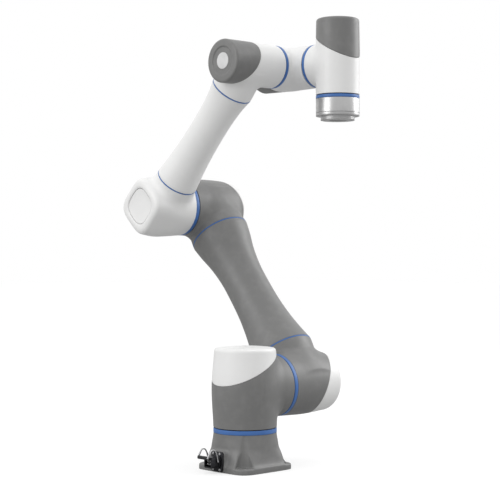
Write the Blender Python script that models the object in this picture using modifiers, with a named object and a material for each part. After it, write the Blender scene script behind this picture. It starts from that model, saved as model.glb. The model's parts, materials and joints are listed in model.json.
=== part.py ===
"""Six-axis collaborative robot arm, modelled from its base face up. Metres, +Z up.

The row origin is the centre of the base's underside. +Y is the axis that the shoulder and the
elbow turn about, and +X is the side that the forearm reaches to. Each arm joint holds one
actuator: a motor stator, a rotor with its wave generator, a circular spline, and an output
flange with the flex spline cup.
"""
import math

import bmesh
import bpy
from mathutils import Matrix, Vector

# ---------------------------------------------------------------- driving dimensions
SHOULDER_HEIGHT = 0.147
UPPER_ARM_LENGTH = 0.427
FOREARM_LENGTH = 0.357
WRIST_OFFSET = 0.141
WRIST_LENGTH = 0.116
UPPER_ARM_LEAN = math.radians(37.9)
FOREARM_RISE = math.radians(46.4)

UPPER_ARM_PLANE = 0.1405
FOREARM_PLANE = 0.0225
GAP = 0.0003
WALL = 0.005
WELD_DISTANCE = 0.000005
HUB_STEPS = 24
INNER_STEPS = 12

# Places of the joint grooves, measured along each joint's own axis from its link frame.
BASE_GROOVE = 0.0757
SHOULDER_GROOVE = 0.0718
ELBOW_GROOVE = 0.0750
WRIST_1_GROOVE = 0.0835
WRIST_2_GROOVE = 0.0615
WRIST_3_GROOVE = 0.0583
GROOVE_HALF = 0.0008
LARGE_RING = 0.0078
SMALL_RING = 0.0056
BAND_HEIGHT = 0.0022

LARGE_RADIUS = 0.0580
ELBOW_RADIUS = 0.0562
SMALL_RADIUS = 0.0403

UPPER_ARM_LOWER_BAND = 0.0680
UPPER_ARM_UPPER_BAND = 0.3555
FOREARM_LOWER_BAND = 0.0690
FOREARM_UPPER_BAND = 0.2960

BASE_BOLT_CIRCLE_RADIUS = 0.0705
BASE_BOLT_RADIUS = 0.0045

TOOL_BOSS_RADIUS = 0.0315
TOOL_FACE = 0.1050
TOOL_SHOULDER_FACE = 0.0975
TOOL_BOLT_CIRCLE_RADIUS = 0.0250
TOOL_TAPPED_RADIUS = 0.0025
TOOL_TAPPED_DEPTH = 0.0110
TOOL_RECESS_RADIUS = 0.01575
TOOL_RECESS_DEPTH = 0.0062

UP = Vector((0, 0, 1))
AXIS_X = Vector((1, 0, 0))
AXIS_Y = Vector((0, 1, 0))

UPPER_ARM_AXIS = Vector((-math.sin(UPPER_ARM_LEAN), 0, math.cos(UPPER_ARM_LEAN)))
FOREARM_AXIS = Vector((math.cos(FOREARM_RISE), 0, math.sin(FOREARM_RISE)))

BASE_JOINT = Vector((0, 0, 0))
SHOULDER_JOINT = Vector((0, 0, SHOULDER_HEIGHT))
ELBOW_JOINT = SHOULDER_JOINT + UPPER_ARM_LENGTH * UPPER_ARM_AXIS
WRIST_1_JOINT = ELBOW_JOINT + FOREARM_LENGTH * FOREARM_AXIS
WRIST_2_JOINT = WRIST_1_JOINT + WRIST_OFFSET * AXIS_Y
WRIST_3_JOINT = WRIST_2_JOINT + WRIST_LENGTH * AXIS_X

# ---------------------------------------------------------------- scene and materials
for old in list(bpy.data.objects):
    bpy.data.objects.remove(old, do_unlink=True)

PARTS = bpy.data.collections.new("collaborative_robot_arm")
CUTTERS = bpy.data.collections.new("cutters")
bpy.context.scene.collection.children.link(PARTS)
bpy.context.scene.collection.children.link(CUTTERS)


def principled(name, colour, roughness, metallic):
    """Make one Principled material."""
    material = bpy.data.materials.new(name)
    material.use_nodes = True
    shader = material.node_tree.nodes["Principled BSDF"]
    shader.inputs["Base Color"].default_value = (*colour, 1.0)
    shader.inputs["Roughness"].default_value = roughness
    shader.inputs["Metallic"].default_value = metallic
    return material


GREY_PAINT = (0.17, 0.17, 0.165)
WHITE_PAINT = (0.78, 0.78, 0.77)
BLUE_SEAL = (0.07, 0.17, 0.42)
BARE_ALUMINIUM = (0.60, 0.60, 0.58)
DARK_STEEL = (0.05, 0.05, 0.055)
GEAR_STEEL = (0.42, 0.42, 0.44)
COPPER_WINDING = (0.62, 0.28, 0.12)
BOARD_GREEN = (0.03, 0.20, 0.09)
BLACK_PLASTIC = (0.015, 0.015, 0.015)

FINISHES = {
    "grey": (GREY_PAINT, 0.45, 0.0),
    "white": (WHITE_PAINT, 0.35, 0.0),
    "blue": (BLUE_SEAL, 0.40, 0.0),
    "aluminium": (BARE_ALUMINIUM, 0.28, 1.0),
    "dark_steel": (DARK_STEEL, 0.40, 1.0),
    "gear_steel": (GEAR_STEEL, 0.30, 1.0),
    "copper": (COPPER_WINDING, 0.35, 1.0),
    "board": (BOARD_GREEN, 0.50, 0.0),
    "black": (BLACK_PLASTIC, 0.50, 0.0),
}


def aimed(point, direction, side=None):
    """Frame at a point whose local Z runs along direction and whose local X is near side."""
    z_axis = direction.normalized()
    guide = side or (AXIS_X if abs(z_axis.x) < 0.9 else AXIS_Y)
    y_axis = z_axis.cross(guide).normalized()
    x_axis = y_axis.cross(z_axis)
    rotation = Matrix((x_axis, y_axis, z_axis)).transposed()
    return Matrix.Translation(point) @ rotation.to_4x4()


BODIES = {}


def body(name, pivot):
    """Empty on a joint's axis that carries every piece of one moving body."""
    empty = bpy.data.objects.new(name + "_pivot", None)
    empty.location = pivot
    PARTS.objects.link(empty)
    BODIES[name] = empty


for body_name, pivot in (
    ("base", BASE_JOINT),
    ("shoulder", BASE_JOINT),
    ("upper_arm", SHOULDER_JOINT),
    ("forearm", ELBOW_JOINT),
    ("wrist_1", WRIST_1_JOINT),
    ("wrist_2", WRIST_2_JOINT),
    ("tool", WRIST_3_JOINT),
):
    body(body_name, pivot)


def add_part(name, mesh, frame, owner, finish):
    """Place a mesh as one named sub-part, carried by its body's empty."""
    part = bpy.data.objects.new(name, mesh)
    colour, roughness, metallic = FINISHES[finish]
    mesh.materials.append(principled(name + "_" + finish, colour, roughness, metallic))
    PARTS.objects.link(part)
    part.parent = BODIES[owner]
    part.matrix_basis = Matrix.Translation(-BODIES[owner].location) @ frame
    return part


def add_cutter(name, mesh, frame):
    """Place a mesh as a hidden tool for Boolean modifiers."""
    tool = bpy.data.objects.new(name, mesh)
    tool.hide_render = True
    tool.display_type = "WIRE"
    CUTTERS.objects.link(tool)
    tool.matrix_world = frame
    return tool


# ---------------------------------------------------------------- shapes
def profile_mesh(name, profile, is_ring=False):
    """Mesh of a turned outline: (radius, height) points down the outer side."""
    mesh = bpy.data.meshes.new(name)
    points = [(radius, 0, height) for radius, height in profile]
    edges = [(i, i + 1) for i in range(len(points) - 1)]
    if is_ring:
        edges.append((len(points) - 1, 0))
    mesh.from_pydata(points, edges, [])
    return mesh


def turn(item, steps):
    """Turn a profile about local Z with a Screw modifier."""
    screw = item.modifiers.new("turn", "SCREW")
    screw.axis = "Z"
    screw.steps = steps
    screw.render_steps = steps
    screw.use_merge_vertices = True
    screw.merge_threshold = 0.00001
    screw.use_smooth_shade = False
    return item


def turned_part(name, profile, frame, owner, finish, steps=HUB_STEPS, is_ring=False):
    part = add_part(name, profile_mesh(name, profile, is_ring), frame, owner, finish)
    return turn(part, steps)


def turned_cutter(name, profile, frame, steps=HUB_STEPS):
    return turn(add_cutter(name, profile_mesh(name, profile), frame), steps)


def ring_profile(outer, inner, low, high):
    return [(outer, high), (outer, low), (inner, low), (inner, high)]


def rod_profile(radius, low, high):
    return [(0, high), (radius, high), (radius, low), (0, low)]


def box_mesh(name, size):
    """Box centred on its origin."""
    mesh = bpy.data.meshes.new(name)
    build = bmesh.new()
    bmesh.ops.create_cube(build, size=1.0)
    bmesh.ops.scale(build, vec=size, verts=build.verts)
    build.to_mesh(mesh)
    build.free()
    return mesh


def squircle(half_width, power, height):
    """Section between a circle (power 2) and a rounded square (high power)."""
    ring = []
    for i in range(HUB_STEPS):
        angle = 2 * math.pi * i / HUB_STEPS
        c, s = math.cos(angle), math.sin(angle)
        radius = half_width / (abs(c) ** power + abs(s) ** power) ** (1 / power)
        ring.append(Vector((radius * c, radius * s, height)))
    return ring


def lofted(name, sections):
    """Closed solid through sections that run upwards with the same number of points."""
    mesh = bpy.data.meshes.new(name)
    build = bmesh.new()
    rings = [[build.verts.new(point) for point in section] for section in sections]
    count = len(rings[0])
    for low, high in zip(rings, rings[1:]):
        for i in range(count):
            j = (i + 1) % count
            build.faces.new((low[i], low[j], high[j], high[i]))
    build.faces.new(list(reversed(rings[0])))
    build.faces.new(rings[-1])
    bmesh.ops.triangulate(build, faces=build.faces)
    build.to_mesh(mesh)
    build.free()
    return mesh


def combine(part, tool, operation):
    boolean = part.modifiers.new(operation.lower() + "_" + tool.name, "BOOLEAN")
    boolean.operation = operation
    boolean.solver = "EXACT"
    boolean.object = tool


def cut(part, *tools):
    for tool in tools:
        combine(part, tool, "DIFFERENCE")


def join(part, *tools):
    for tool in tools:
        combine(part, tool, "UNION")


def weld(part):
    """Close the hairline splits that a chain of cuts can leave."""
    modifier = part.modifiers.new("weld", "WELD")
    modifier.merge_threshold = WELD_DISTANCE


# ---------------------------------------------------------------- arm modules
SEAM_BOX = 0.40


def hub_profile(start_radius, middle_radius, end_radius, length, start, corner, dome):
    """Outline of a hub from its domed cap end down to its joint groove."""
    shoulder = length - dome
    arc = []
    for i in range(4):
        angle = math.radians(30 * i)
        arc.append((end_radius - corner + corner * math.sin(angle),
                    shoulder - corner + corner * math.cos(angle)))
    return [(0, length)] + arc + [(middle_radius, 0.52 * length), (start_radius, start), (0, start)]


def hollow_of(profile):
    """Bore of a hub: its outline moved in by the wall, and run out through the joint end."""
    high, low = profile[0][1], profile[-1][1]
    inner = [(radius - WALL, min(height, high - WALL)) for radius, height in profile[2:-1]]
    return [(0, high - WALL)] + inner + [(inner[-1][0], low - WALL), (0, low - WALL)]


def channel_of(stub):
    """Bore of a stub, run out through its open end."""
    end = stub[0][1]
    inner = [(radius - WALL, height) for radius, height in stub[1:-1]]
    return [(0, end + WALL), (inner[0][0], end + WALL)] + inner[1:] + [(0, stub[-1][1])]


def seam_cutter(name, hub_frame, link, offset, slope, keep_cap):
    """Big box on one side of a cap's oblique parting plane.

    The plane crosses the hub axis at offset and rises by slope towards the link.
    """
    axis = hub_frame.to_3x3().col[2]
    normal = (axis - slope * link).normalized()
    point = hub_frame.translation + offset * axis
    side = -1 if keep_cap else 1
    shift = SEAM_BOX / 2 - (GAP if keep_cap else 0)
    frame = aimed(point + side * shift * normal, normal, link)
    return add_cutter(name, box_mesh(name, (SEAM_BOX, SEAM_BOX, SEAM_BOX)), frame)


def tee_module(names, owner, finishes, hub_frame, hub, stub_frame, stub, seam):
    """Hub with an actuator bore, a side stub towards its link, and a cap on the hub's end."""
    housing_name, cap_name = names
    link = stub_frame.to_3x3().col[2]
    bore = hollow_of(hub)
    housing = turned_part(housing_name, hub, hub_frame, owner, finishes[0])
    join(housing, turned_cutter(housing_name + "_stub", stub, stub_frame))
    cut(housing,
        turned_cutter(housing_name + "_bore", bore, hub_frame),
        turned_cutter(housing_name + "_channel", channel_of(stub), stub_frame),
        seam_cutter(housing_name + "_seam", hub_frame, link, *seam, keep_cap=False))
    weld(housing)
    cap = turned_part(cap_name, hub, hub_frame, owner, finishes[1])
    cut(cap,
        turned_cutter(cap_name + "_bore", bore, hub_frame),
        seam_cutter(cap_name + "_seam", hub_frame, link, *seam, keep_cap=True))


def link_band(name, radius, frame, owner):
    """Thin blue seal between a hub's stub and its link tube."""
    profile = ring_profile(radius, radius - WALL, -BAND_HEIGHT / 2, BAND_HEIGHT / 2)
    turned_part(name, profile, frame, owner, "blue", is_ring=True)


def link_tube(name, profile, frame, owner, finish):
    """Waisted tube, open at both ends."""
    inner = [(radius - WALL, height) for radius, height in reversed(profile)]
    turned_part(name, profile + inner, frame, owner, finish, is_ring=True)


def seal_ring(name, radius, frame, low, high, owner):
    """Blue ring beside a joint's groove."""
    turned_part(name, ring_profile(radius, radius - WALL, low, high), frame, owner, "blue",
                is_ring=True)


# ---------------------------------------------------------------- actuators
CUP_WALL = 0.0022
AIR_GAP = 0.0006
GROOVE_RIM_INSET = 0.0012


def inside(radius, steps):
    """Largest radius that turns freely within a faceted bore of this radius."""
    return radius * math.cos(math.pi / steps) - AIR_GAP


def around(radius, steps):
    """Smallest faceted bore that a piece of this radius turns freely in."""
    return (radius + AIR_GAP) / math.cos(math.pi / steps)


def actuator(prefix, frame, housing, output, hub_radius, depth):
    """Strain-wave actuator in a hub. Its frame's Z runs from the groove towards the cap."""
    radius = hub_radius - WALL
    shell = radius - GAP
    output_radius = inside(radius, HUB_STEPS)
    shaft, bore, cup = 0.22 * radius, 0.15 * radius, 0.68 * radius
    wave = inside(cup - CUP_WALL, INNER_STEPS)
    gear_low, gear_high = 0.13 * depth, 0.28 * depth
    stator_low, stator_high = 0.38 * depth, 0.60 * depth
    magnet, magnet_low, web = 0.58 * radius, 0.47 * radius, 0.03 * depth
    board_low, board_high = 0.74 * depth, 0.77 * depth
    rim, rim_radius = GROOVE_HALF - GAP, hub_radius - GROOVE_RIM_INSET

    def ring(piece, profile, owner, finish, steps=INNER_STEPS):
        turned_part(prefix + piece, profile, frame, owner, finish, steps, True)

    ring("_circular_spline",
         ring_profile(shell, around(cup, INNER_STEPS), gear_low + AIR_GAP, gear_high),
         housing, "gear_steel")
    ring("_output_flange", [
        (cup, gear_high), (cup, gear_low), (output_radius, gear_low), (output_radius, rim),
        (rim_radius, rim), (rim_radius, -rim), (shaft, -rim), (shaft, gear_low - 2 * CUP_WALL),
        (cup - CUP_WALL, gear_low - 2 * CUP_WALL), (cup - CUP_WALL, gear_high),
    ], output, "dark_steel")
    ring("_motor_stator",
         ring_profile(shell, around(magnet, INNER_STEPS), stator_low, stator_high),
         housing, "copper")
    ring("_rotor", [
        (shaft, board_low - AIR_GAP), (shaft, stator_high), (magnet, stator_high),
        (magnet, stator_low), (magnet_low, stator_low), (magnet_low, stator_high - web),
        (shaft, stator_high - web), (shaft, gear_high), (wave, gear_high),
        (wave, gear_low + web), (bore, gear_low + web), (bore, board_low - AIR_GAP),
    ], prefix + "_rotor", "gear_steel")
    ring("_drive_board", ring_profile(0.90 * radius, bore, board_low, board_high),
         housing, "board")


# ---------------------------------------------------------------- joint frames
base_frame = aimed(BASE_JOINT + BASE_GROOVE * UP, UP)
shoulder_frame = aimed(SHOULDER_JOINT + SHOULDER_GROOVE * AXIS_Y, AXIS_Y)
elbow_frame = aimed(ELBOW_JOINT + ELBOW_GROOVE * AXIS_Y, AXIS_Y)
wrist_1_frame = aimed(WRIST_1_JOINT + WRIST_1_GROOVE * AXIS_Y, -AXIS_Y)
wrist_2_frame = aimed(WRIST_2_JOINT + WRIST_2_GROOVE * AXIS_X, -AXIS_X)
wrist_3_frame = aimed(WRIST_3_JOINT - WRIST_3_GROOVE * UP, UP)
upper_arm_frame = aimed(SHOULDER_JOINT + UPPER_ARM_PLANE * AXIS_Y, UPPER_ARM_AXIS)
forearm_frame = aimed(ELBOW_JOINT + FOREARM_PLANE * AXIS_Y, FOREARM_AXIS)

ACTUATORS = (
    ("base_joint", base_frame, "shoulder", "base", LARGE_RADIUS, 0.125),
    ("shoulder_joint", shoulder_frame, "upper_arm", "shoulder", LARGE_RADIUS, 0.118),
    ("elbow_joint", elbow_frame, "upper_arm", "forearm", ELBOW_RADIUS, 0.112),
    ("wrist_1_joint", wrist_1_frame, "forearm", "wrist_1", SMALL_RADIUS, 0.105),
    ("wrist_2_joint", wrist_2_frame, "wrist_1", "wrist_2", SMALL_RADIUS, 0.118),
    ("wrist_3_joint", wrist_3_frame, "wrist_2", "tool", SMALL_RADIUS, 0.118),
)


def stub_profile(end_radius, root_radius, end):
    return [(0, end), (end_radius, end), (root_radius, 0.4 * end), (root_radius, 0), (0, 0)]


# ---------------------------------------------------------------- base
BASE_SECTIONS = (
    # half width, squareness, height
    (0.0660, 5.9, 0.0000),
    (0.0660, 5.9, 0.0105),
    (0.0640, 6.2, 0.0110),
    (0.0615, 5.7, 0.0165),
    (0.0600, 4.6, 0.0225),
    (0.0590, 3.4, 0.0300),
    (0.0585, 2.7, 0.0370),
    (0.0580, 2.3, 0.0500),
)
BASE_FLOOR = 0.0065
BASE_BORE_RADIUS = 0.0500
POCKET_ROOT = (0.0785, 0.0109)
POCKET_TOP = (0.0602, 0.0600)
POCKET_ROOT_RADIUS = 0.0175
POCKET_TOP_RADIUS = 0.0030
DIAGONALS = [math.radians(45 + 90 * i) for i in range(4)]

CONNECTOR_HEIGHT = 0.0198
CONNECTOR_SIZE = (0.0210, 0.0196)
CONNECTOR_FACE = -0.0916
CONNECTOR_PLATE = (0.0290, 0.0350, 0.0040)
BOSS_FACE = -0.0664
SOCKET_SIZE = (0.0160, 0.0146)
SOCKET_DEPTH = 0.0160
BOSS_SIZE = (0.0314, 0.0300, 0.0355)
BOSS_FOOT = 0.0012
CUT_THROUGH = 0.060
LEVER_PIVOT = Vector((0, -0.0790, 0.0215))
LEVER_SIDE = ((0, 0), (-0.0030, 0.0130), (-0.0085, 0.0210), (-0.0150, 0.0215), (-0.0200, 0.0160),
              (-0.0245, 0.0085))
LEVER_HALF_WIDTH = 0.0128
LEVER_WIRE_RADIUS = 0.0015


def cone_mesh(name, low_radius, high_radius, length):
    """Cone or cylinder centred on its origin, along Z."""
    mesh = bpy.data.meshes.new(name)
    build = bmesh.new()
    bmesh.ops.create_cone(build, cap_ends=True, segments=INNER_STEPS, radius1=low_radius,
                          radius2=high_radius, depth=length)
    build.to_mesh(mesh)
    build.free()
    return mesh


def pocket_cutter(angle):
    """Leaning cone that opens the casting over one corner bolt."""
    outward = Vector((math.cos(angle), math.sin(angle), 0))
    low = POCKET_ROOT[0] * outward + POCKET_ROOT[1] * UP
    high = POCKET_TOP[0] * outward + POCKET_TOP[1] * UP
    length = (high - low).length
    name = "base_pocket_%d" % round(math.degrees(angle))
    mesh = cone_mesh(name, POCKET_ROOT_RADIUS, POCKET_TOP_RADIUS, length)
    return add_cutter(name, mesh, aimed((low + high) / 2, high - low))


def bolt_cutter(prefix, centre, angle, circle, radius, length):
    """Round hole on a bolt circle, centred on centre's plane."""
    place = centre + circle * Vector((math.cos(angle), math.sin(angle), 0))
    name = "%s_%d" % (prefix, round(math.degrees(angle)))
    return add_cutter(name, cone_mesh(name, radius, radius, length), aimed(place, UP))


def build_base():
    sections = [squircle(*section) for section in BASE_SECTIONS]
    top = BASE_GROOVE - GROOVE_HALF - LARGE_RING - GAP
    sections.append(squircle(LARGE_RADIUS, 2, top))
    casting = add_part("base_casting", lofted("base_casting", sections), Matrix(), "base", "grey")
    boss_centre = Vector((0, BOSS_FACE + BOSS_SIZE[1] / 2, BOSS_FOOT + BOSS_SIZE[2] / 2))
    boss = add_cutter("base_boss", box_mesh("base_boss", BOSS_SIZE), Matrix.Translation(boss_centre))
    join(casting, boss)
    cut(casting, turned_cutter("base_bore",
                                rod_profile(BASE_BORE_RADIUS, BASE_FLOOR, BASE_FLOOR + CUT_THROUGH + WALL),
                                Matrix()))
    passage = (CONNECTOR_SIZE[0] - 2 * WALL, CUT_THROUGH, CONNECTOR_SIZE[1] - 2 * WALL)
    passage_centre = Vector((0, BOSS_FACE, CONNECTOR_HEIGHT))
    cut(casting, add_cutter("base_passage", box_mesh("base_passage", passage),
                            Matrix.Translation(passage_centre)))
    for angle in DIAGONALS:
        cut(casting, pocket_cutter(angle),
            bolt_cutter("base_bolt", Vector((0, 0, 0)), angle, BASE_BOLT_CIRCLE_RADIUS,
                        BASE_BOLT_RADIUS, CUT_THROUGH))
    weld(casting)
    seal_ring("base_seal_ring", LARGE_RADIUS, base_frame, -GROOVE_HALF - LARGE_RING,
              -GROOVE_HALF, "base")


def build_connector():
    """Rectangular plug socket on the base, with its locking lever."""
    plate_width, plate_height, plate_depth = CONNECTOR_PLATE
    back = BOSS_FACE - GAP
    plate = Vector((0, back - plate_depth / 2, CONNECTOR_HEIGHT))
    housing = add_part("connector_housing",
                       box_mesh("connector_plate", (plate_width, plate_depth, plate_height)),
                       Matrix.Translation(plate), "base", "dark_steel")
    length = back - CONNECTOR_FACE - plate_depth / 2
    shell = Vector((0, CONNECTOR_FACE + length / 2, CONNECTOR_HEIGHT))
    join(housing, add_cutter("connector_shell",
                             box_mesh("connector_shell", (CONNECTOR_SIZE[0], length, CONNECTOR_SIZE[1])),
                             Matrix.Translation(shell)))
    socket = Vector((0, CONNECTOR_FACE, CONNECTOR_HEIGHT))
    cut(housing, add_cutter("connector_socket",
                            box_mesh("connector_socket",
                                     (SOCKET_SIZE[0], 2 * SOCKET_DEPTH, SOCKET_SIZE[1])),
                            Matrix.Translation(socket)))
    body("connector_lever", LEVER_PIVOT)
    left = [Vector((-LEVER_HALF_WIDTH, y, z)) for y, z in LEVER_SIDE]
    right = [Vector((LEVER_HALF_WIDTH, y, z)) for y, z in reversed(LEVER_SIDE)]
    curve = bpy.data.curves.new("connector_lever", "CURVE")
    curve.dimensions = "3D"
    curve.bevel_depth = LEVER_WIRE_RADIUS
    curve.bevel_resolution = 1
    curve.use_fill_caps = True
    spline = curve.splines.new("POLY")
    spline.points.add(len(left + right) - 1)
    for point, place in zip(spline.points, left + right):
        point.co = (*place, 1)
    add_part("connector_lever", curve, Matrix.Translation(LEVER_PIVOT), "connector_lever", "black")


# ---------------------------------------------------------------- arm links
# Each hub: radius at its joint, at its middle and at its cap, length, joint end, the cap's
# corner radius and dome height. Each seam: its height on the hub axis and its slope.
LARGE_RING_END = GROOVE_HALF + LARGE_RING
SHOULDER_HUB = (LARGE_RADIUS, 0.0612, 0.0566, 0.1478, GROOVE_HALF, 0.0060, 0.0030)
SHOULDER_SEAM = (0.1103, 0.53)
UPPER_ARM_HUB = (LARGE_RADIUS, 0.0592, 0.0560, 0.1367, LARGE_RING_END + GAP, 0.0120, 0.0030)
UPPER_ARM_SEAM = (0.1082, 0.52)
UPPER_ARM_STUB_RADIUS = 0.0605
UPPER_ARM_ROOT_RADIUS = 0.0560
ELBOW_HUB = (ELBOW_RADIUS, 0.0572, 0.0545, 0.1310, GROOVE_HALF, 0.0120, 0.0030)
ELBOW_SEAM = (0.1110, 0.30)
ELBOW_STUB_RADIUS = 0.0590
ELBOW_ROOT_RADIUS = 0.0540
FOREARM_STUB_RADIUS = 0.0412
FOREARM_ROOT_RADIUS = 0.0430
FOREARM_HUB = (SMALL_RADIUS, SMALL_RADIUS, 0.0400, 0.1261, GROOVE_HALF, 0.0040, 0.0004)
FOREARM_SEAM = (0.0842, 0.56)
FOREARM_HUB_ROOT_RADIUS = 0.0385
WRIST_HUB = (SMALL_RADIUS, 0.0408, 0.0398, 0.1428, GROOVE_HALF, 0.0050, 0.0020)
WRIST_SEAM = (0.0893, 0.576)
WRIST_ROOT_RADIUS = 0.0395
UPPER_ARM_WAIST = ((0.0553, 0.333), (0.0482, 0.300), (0.0432, 0.260), (0.0425, 0.215),
                   (0.0450, 0.160), (0.0503, 0.120), (0.0555, 0.092))
FOREARM_WAIST = ((0.0370, 0.276), (0.0340, 0.245), (0.0331, 0.205), (0.0337, 0.165),
                 (0.0370, 0.110))


def build_shoulder():
    tee_module(("shoulder_housing", "shoulder_cap"), "shoulder", ("grey", "white"), base_frame,
               hub_profile(*SHOULDER_HUB), aimed(SHOULDER_JOINT, AXIS_Y),
               stub_profile(LARGE_RADIUS, LARGE_RADIUS, SHOULDER_GROOVE - GROOVE_HALF),
               SHOULDER_SEAM)


def build_upper_arm():
    seal_ring("shoulder_seal_ring", LARGE_RADIUS, shoulder_frame, GROOVE_HALF, LARGE_RING_END,
              "upper_arm")
    end = UPPER_ARM_LOWER_BAND - BAND_HEIGHT / 2 - GAP
    tee_module(("upper_arm_shoulder_housing", "upper_arm_shoulder_cap"), "upper_arm",
               ("grey", "white"), shoulder_frame, hub_profile(*UPPER_ARM_HUB), upper_arm_frame,
               stub_profile(UPPER_ARM_STUB_RADIUS, UPPER_ARM_ROOT_RADIUS, end), UPPER_ARM_SEAM)
    link_band("upper_arm_lower_band", UPPER_ARM_STUB_RADIUS,
              upper_arm_frame @ Matrix.Translation((0, 0, UPPER_ARM_LOWER_BAND)), "upper_arm")
    low = UPPER_ARM_LOWER_BAND + BAND_HEIGHT / 2 + GAP
    high = UPPER_ARM_UPPER_BAND - BAND_HEIGHT / 2 - GAP
    link_tube("upper_arm_tube", [(ELBOW_STUB_RADIUS, high), *UPPER_ARM_WAIST,
                                 (UPPER_ARM_STUB_RADIUS, low)], upper_arm_frame, "upper_arm", "grey")
    link_band("upper_arm_upper_band", ELBOW_STUB_RADIUS,
              upper_arm_frame @ Matrix.Translation((0, 0, UPPER_ARM_UPPER_BAND)), "upper_arm")
    elbow_end = UPPER_ARM_LENGTH - UPPER_ARM_UPPER_BAND - BAND_HEIGHT / 2 - GAP
    stub_frame = aimed(ELBOW_JOINT + UPPER_ARM_PLANE * AXIS_Y, -UPPER_ARM_AXIS)
    tee_module(("upper_arm_elbow_housing", "upper_arm_elbow_cap"), "upper_arm",
               ("grey", "white"), elbow_frame, hub_profile(*ELBOW_HUB), stub_frame,
               stub_profile(ELBOW_STUB_RADIUS, ELBOW_ROOT_RADIUS, elbow_end), ELBOW_SEAM)


ELBOW_SECTIONS = (
    # half width, squareness, place along the elbow axis
    (0.0385, 3.8, -0.0340),
    (0.0430, 3.8, -0.0310),
    (0.0470, 3.5, -0.0220),
    (0.0520, 3.0, 0.0000),
    (0.0550, 2.4, 0.0300),
)
ELBOW_SQUARENESS = 3.8
ELBOW_INNER_FACE = -0.0150
ELBOW_INNER_RADIUS = 0.0450
ELBOW_WINDOW_ENDS = (-0.05, -0.0100)
ELBOW_FACE_HALF_WIDTH = 0.0310
ELBOW_COVER_TOP = -0.0305
ELBOW_COVER_THICKNESS = 0.0040


def build_forearm():
    elbow_axis = aimed(ELBOW_JOINT, AXIS_Y, FOREARM_AXIS)
    ring_end = ELBOW_GROOVE - GROOVE_HALF
    housing_end = ring_end - LARGE_RING - GAP
    seal_ring("elbow_seal_ring", ELBOW_RADIUS, elbow_axis, ring_end - LARGE_RING, ring_end, "forearm")
    sections = [squircle(*section) for section in ELBOW_SECTIONS]
    sections.append(squircle(ELBOW_RADIUS, 2, housing_end))
    housing = add_part("forearm_elbow_housing", lofted("forearm_elbow_housing", sections),
                       elbow_axis, "forearm", "white")
    stub_end = FOREARM_LOWER_BAND - BAND_HEIGHT / 2 - GAP
    stub = stub_profile(FOREARM_STUB_RADIUS, FOREARM_ROOT_RADIUS, stub_end)
    join(housing, turned_cutter("forearm_elbow_stub", stub, forearm_frame))
    bore = [(0, ELBOW_GROOVE + WALL), (ELBOW_RADIUS - WALL, ELBOW_GROOVE + WALL),
            (ELBOW_INNER_RADIUS, ELBOW_INNER_FACE), (0, ELBOW_INNER_FACE)]
    window = lofted("forearm_elbow_window", [
        squircle(ELBOW_FACE_HALF_WIDTH, ELBOW_SQUARENESS, height) for height in ELBOW_WINDOW_ENDS])
    cut(housing,
        turned_cutter("forearm_elbow_bore", bore, elbow_axis),
        turned_cutter("forearm_elbow_channel", channel_of(stub), forearm_frame),
        add_cutter("forearm_elbow_window", window, elbow_axis))
    weld(housing)
    cover = lofted("forearm_elbow_cover", [
        squircle(ELBOW_FACE_HALF_WIDTH - GAP, ELBOW_SQUARENESS, height)
        for height in (ELBOW_COVER_TOP, ELBOW_COVER_TOP + ELBOW_COVER_THICKNESS)])
    add_part("forearm_elbow_cover", cover, elbow_axis, "forearm", "white")
    link_band("forearm_lower_band", FOREARM_STUB_RADIUS,
              forearm_frame @ Matrix.Translation((0, 0, FOREARM_LOWER_BAND)), "forearm")
    low = FOREARM_LOWER_BAND + BAND_HEIGHT / 2 + GAP
    high = FOREARM_UPPER_BAND - BAND_HEIGHT / 2 - GAP
    link_tube("forearm_tube", [(SMALL_RADIUS, high), *FOREARM_WAIST, (FOREARM_STUB_RADIUS, low)],
              forearm_frame, "forearm", "white")
    link_band("forearm_upper_band", SMALL_RADIUS,
              forearm_frame @ Matrix.Translation((0, 0, FOREARM_UPPER_BAND)), "forearm")
    wrist_end = FOREARM_LENGTH - FOREARM_UPPER_BAND - BAND_HEIGHT / 2 - GAP
    stub_frame = aimed(WRIST_1_JOINT + FOREARM_PLANE * AXIS_Y, -FOREARM_AXIS)
    tee_module(("forearm_wrist_housing", "forearm_wrist_cap"), "forearm", ("white", "grey"),
               wrist_1_frame, hub_profile(*FOREARM_HUB), stub_frame,
               stub_profile(SMALL_RADIUS, FOREARM_HUB_ROOT_RADIUS, wrist_end), FOREARM_SEAM)


def build_wrists():
    """Two alike wrist modules, each a hub with a stub back to the joint before it."""
    before = GROOVE_HALF + SMALL_RING
    stub_1 = WRIST_OFFSET - WRIST_1_GROOVE - before - GAP
    seal_ring("wrist_1_seal_ring", SMALL_RADIUS, wrist_1_frame, -before, -GROOVE_HALF, "wrist_1")
    tee_module(("wrist_1_housing", "wrist_1_cap"), "wrist_1", ("white", "grey"), wrist_2_frame,
               hub_profile(*WRIST_HUB), aimed(WRIST_2_JOINT, -AXIS_Y),
               stub_profile(SMALL_RADIUS, WRIST_ROOT_RADIUS, stub_1), WRIST_SEAM)
    stub_2 = WRIST_LENGTH - WRIST_2_GROOVE - before - GAP
    seal_ring("wrist_2_seal_ring", SMALL_RADIUS, wrist_2_frame, -before, -GROOVE_HALF, "wrist_2")
    tee_module(("wrist_2_housing", "wrist_2_cap"), "wrist_2", ("white", "grey"), wrist_3_frame,
               hub_profile(*WRIST_HUB), aimed(WRIST_3_JOINT, -AXIS_X),
               stub_profile(SMALL_RADIUS, WRIST_ROOT_RADIUS, stub_2), WRIST_SEAM)


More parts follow.
